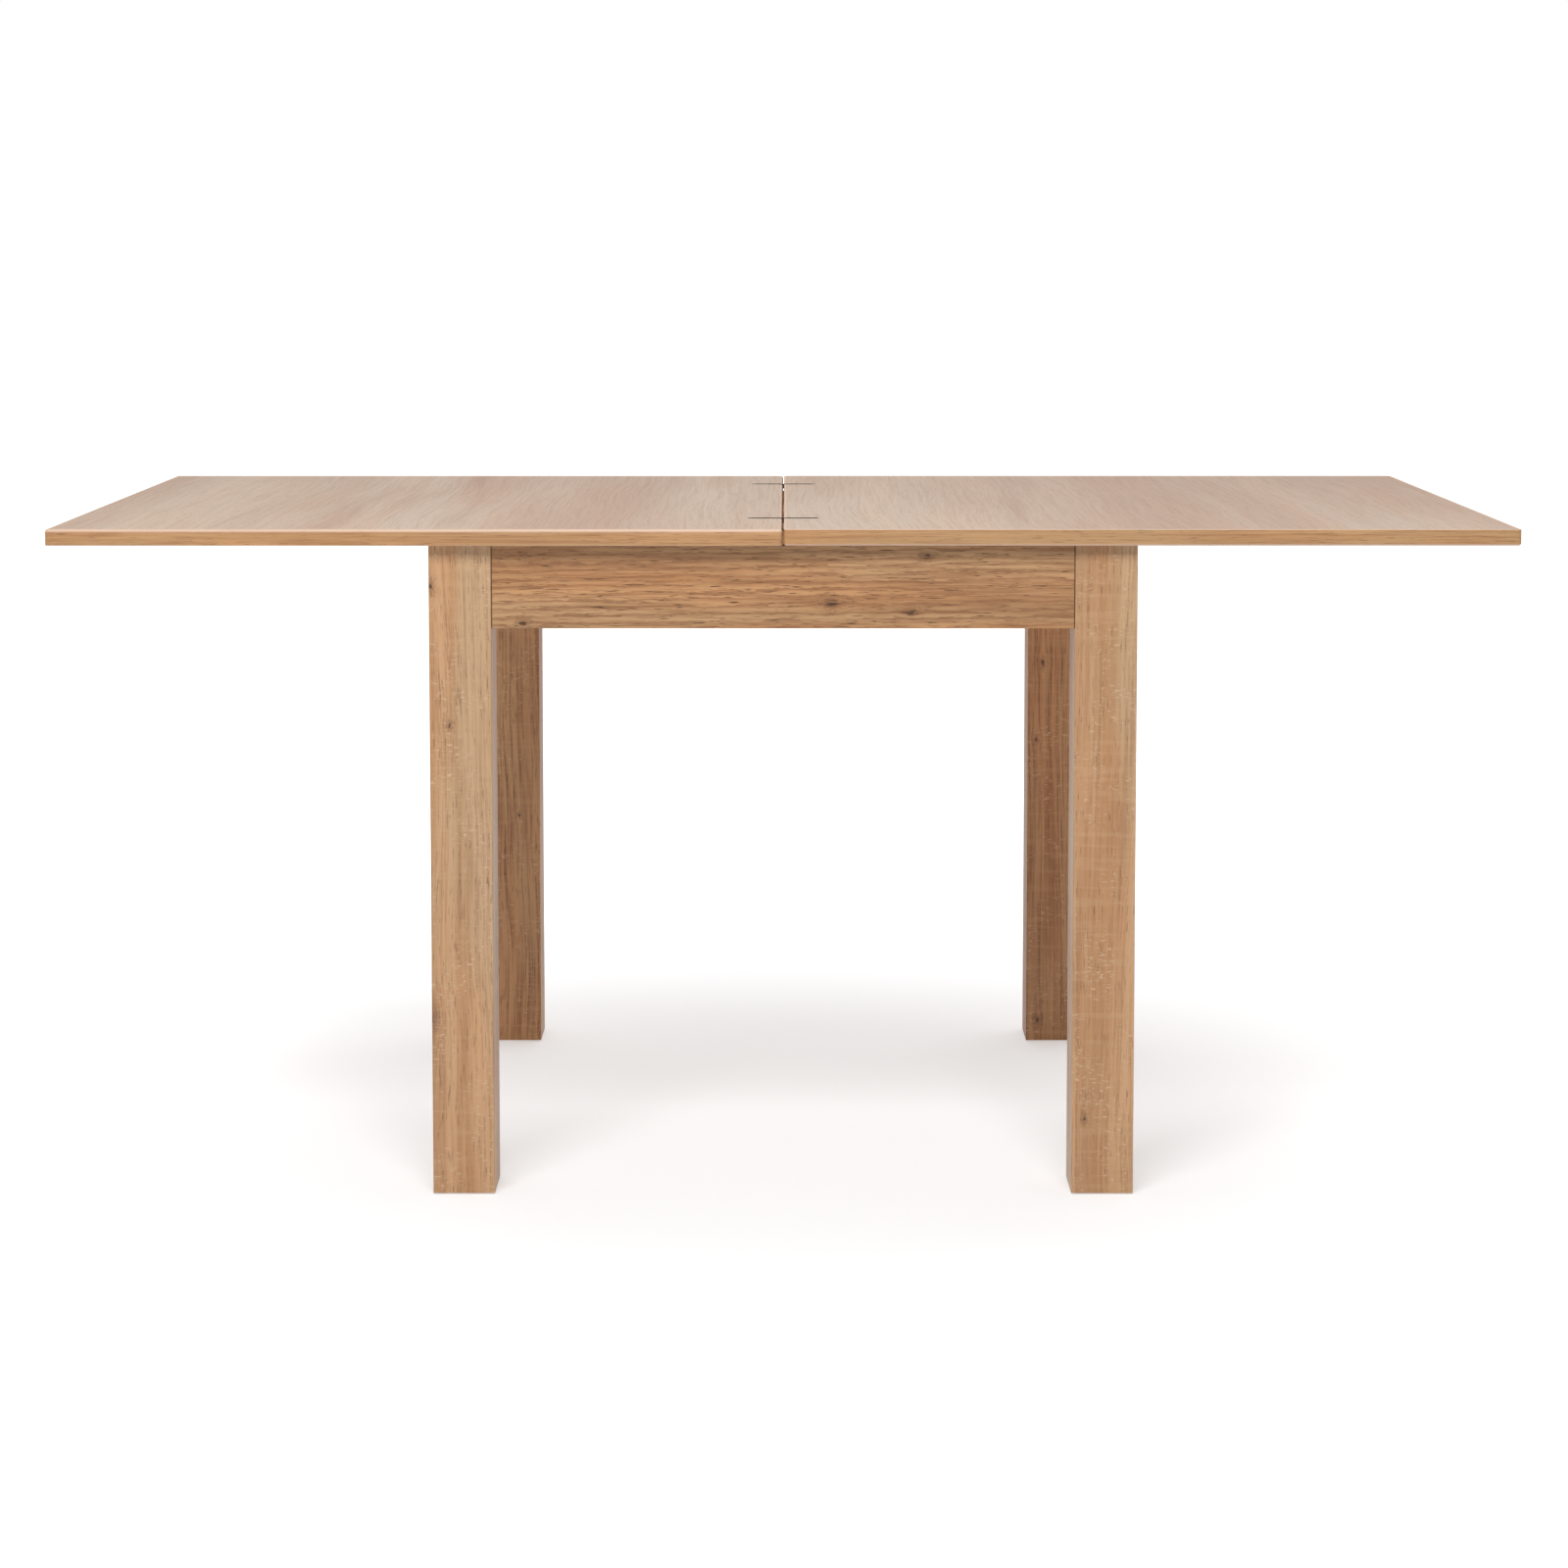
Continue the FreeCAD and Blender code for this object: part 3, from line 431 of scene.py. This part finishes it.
# the hanger bolts have a fine thread for the nut at one end and a coarse wood thread in the leg
BOLT_CORE, BOLT_CREST, BOLT_LENGTH = 0.0034, 0.0040, 0.072
BOLT_SEAT, BOLT_OUT, BOLT_HEIGHTS = 0.324, 0.022, (0.6632, 0.6932)
BOLT_CHAMFER, POINT_INSET, POINT_DISH = 0.0007, 0.0022, 0.0002
ROOT_SUNK = 0.0001        # how far the foot of a thread lies inside the bolt's core
NEAR = 0.0001
THREAD_STEPS = 20


def edit_where(piece, test):
    """Opens a piece in edit mode with only the points that pass the test selected."""
    bpy.ops.object.mode_set(mode="EDIT")
    bpy.ops.mesh.select_mode(type="VERT")
    bpy.ops.mesh.select_all(action="DESELECT")
    bpy.ops.object.mode_set(mode="OBJECT")
    for point in piece.data.vertices:
        point.select = test(point.co)
    bpy.ops.object.mode_set(mode="EDIT")


def wind_thread(start, pitch, turns, root_width):
    """A thread ridge wound up the bolt from a height: a tooth drawn as a plane, then screwed."""
    bpy.ops.object.select_all(action="DESELECT")
    bpy.ops.mesh.primitive_plane_add(size=1, location=((BOLT_CORE + BOLT_CREST) / 2 - ROOT_SUNK, 0, start),
                                     rotation=(math.pi / 2, 0, 0))
    ridge = bpy.context.object
    ridge.scale = (BOLT_CREST - BOLT_CORE + 2 * ROOT_SUNK, root_width, 1)
    bpy.ops.object.transform_apply(location=True, rotation=True, scale=True)
    edit_where(ridge, lambda at: at.x > BOLT_CREST - NEAR)
    bpy.ops.transform.resize(value=(1, 1, 0.15), center_override=(BOLT_CREST, 0, start))
    bpy.ops.object.mode_set(mode="OBJECT")
    screw = ridge.modifiers.new("wind", "SCREW")
    screw.screw_offset = pitch
    screw.iterations = turns
    screw.steps = screw.render_steps = THREAD_STEPS
    bpy.ops.object.modifier_apply(modifier="wind")
    edit_where(ridge, lambda at: True)
    bpy.ops.mesh.fill_holes(sides=4)
    bpy.ops.mesh.normals_make_consistent(inside=False)
    bpy.ops.object.mode_set(mode="OBJECT")
    return ridge


nut_thread = wind_thread(start=0.0012, pitch=0.00125, turns=18, root_width=0.0011)
wood_thread = wind_thread(start=0.034, pitch=0.0028, turns=12, root_width=0.0012)
bpy.ops.object.select_all(action="DESELECT")
bpy.ops.mesh.primitive_cylinder_add(vertices=32, radius=BOLT_CORE, depth=BOLT_LENGTH,
                                    location=(0, 0, BOLT_LENGTH / 2))
bolt = bpy.context.object
bpy.ops.object.transform_apply(location=True, rotation=True, scale=True)
edit_where(bolt, lambda at: at.z < NEAR)
bpy.ops.mesh.bevel(offset=BOLT_CHAMFER, segments=2)
bpy.ops.object.mode_set(mode="OBJECT")
edit_where(bolt, lambda at: at.z > BOLT_LENGTH - NEAR)
bpy.ops.mesh.inset(thickness=POINT_INSET)
bpy.ops.transform.translate(value=(0, 0, -POINT_DISH))
bpy.ops.object.mode_set(mode="OBJECT")
for thread in (nut_thread, wood_thread):
    thread.select_set(True)
bpy.ops.object.join()
bpy.ops.object.shade_smooth_by_angle(angle=math.radians(35))

bolt_set = []
for across, back in ((-1, -1), (1, -1), (-1, 1), (1, 1)):
    for height in BOLT_HEIGHTS:
        bpy.ops.object.select_all(action="DESELECT")
        bolt.select_set(True)
        bpy.context.view_layer.objects.active = bolt
        bpy.ops.object.duplicate()
        placed = bpy.context.object
        into_leg = Vector((across, back, 0)).normalized()
        placed.rotation_euler = into_leg.to_track_quat("Z", "Y").to_euler()
        placed.location = Vector((across * BOLT_SEAT, back * BOLT_SEAT, height)) - into_leg * BOLT_OUT
        bpy.ops.object.transform_apply(location=True, rotation=True, scale=True)
        bolt_set.append(placed)
bpy.data.objects.remove(bolt)
bpy.ops.object.select_all(action="DESELECT")
for placed in bolt_set:
    placed.select_set(True)
bpy.context.view_layer.objects.active = bolt_set[0]
bpy.ops.object.join()
threaded_bolts = bpy.context.object
threaded_bolts.name = "threaded_hanger_bolts"
threaded_bolts.data.materials.append(zinc)
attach(threaded_bolts, "frame")
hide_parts("hanger_bolts")


# --- Pads, stops and glides ----------------------------------------------------
# Moulded plastic: white nylon pads the leaves slide on, dark end stops in the rail
# grooves and a dark glide nailed under each leg.

def moulded_plastic(name, colour, roughness):
    """Plastic with a fine moulded texture and slight colour drift."""
    plastic = bpy.data.materials.new(name)
    plastic.use_nodes = True
    tree = plastic.node_tree
    place = add_node(tree, "TexCoord").outputs["Object"]
    grit = add_node(tree, "TexNoise", {}, Vector=place, Scale=2200.0, Detail=2.0).outputs["Fac"]
    drift = add_node(tree, "TexNoise", {}, Vector=place, Scale=70.0, Detail=3.0).outputs["Fac"]
    shader = tree.nodes["Principled BSDF"]
    worn = tuple(c * 0.8 for c in colour)
    tree.links.new(blend_colour(tree, remap(tree, drift, 0.4, 0.7), colour, worn),
                   shader.inputs["Base Color"])
    tree.links.new(remap(tree, drift, 0.3, 0.7, *roughness, False), shader.inputs["Roughness"])
    relief = add_node(tree, "Bump", {}, Strength=0.3, Distance=0.00005, Height=grit)
    tree.links.new(relief.outputs[0], shader.inputs["Normal"])
    return plastic


nylon = moulded_plastic("white_nylon", colour=(0.78, 0.77, 0.73), roughness=(0.35, 0.5))
dark_plastic = moulded_plastic("dark_plastic", colour=(0.035, 0.028, 0.022), roughness=(0.4, 0.55))
dress("slide_pads", nylon)
dress("runner_stops", dark_plastic)
for corner in leg_knots:
    dress("foot_glide_" + corner, dark_plastic)
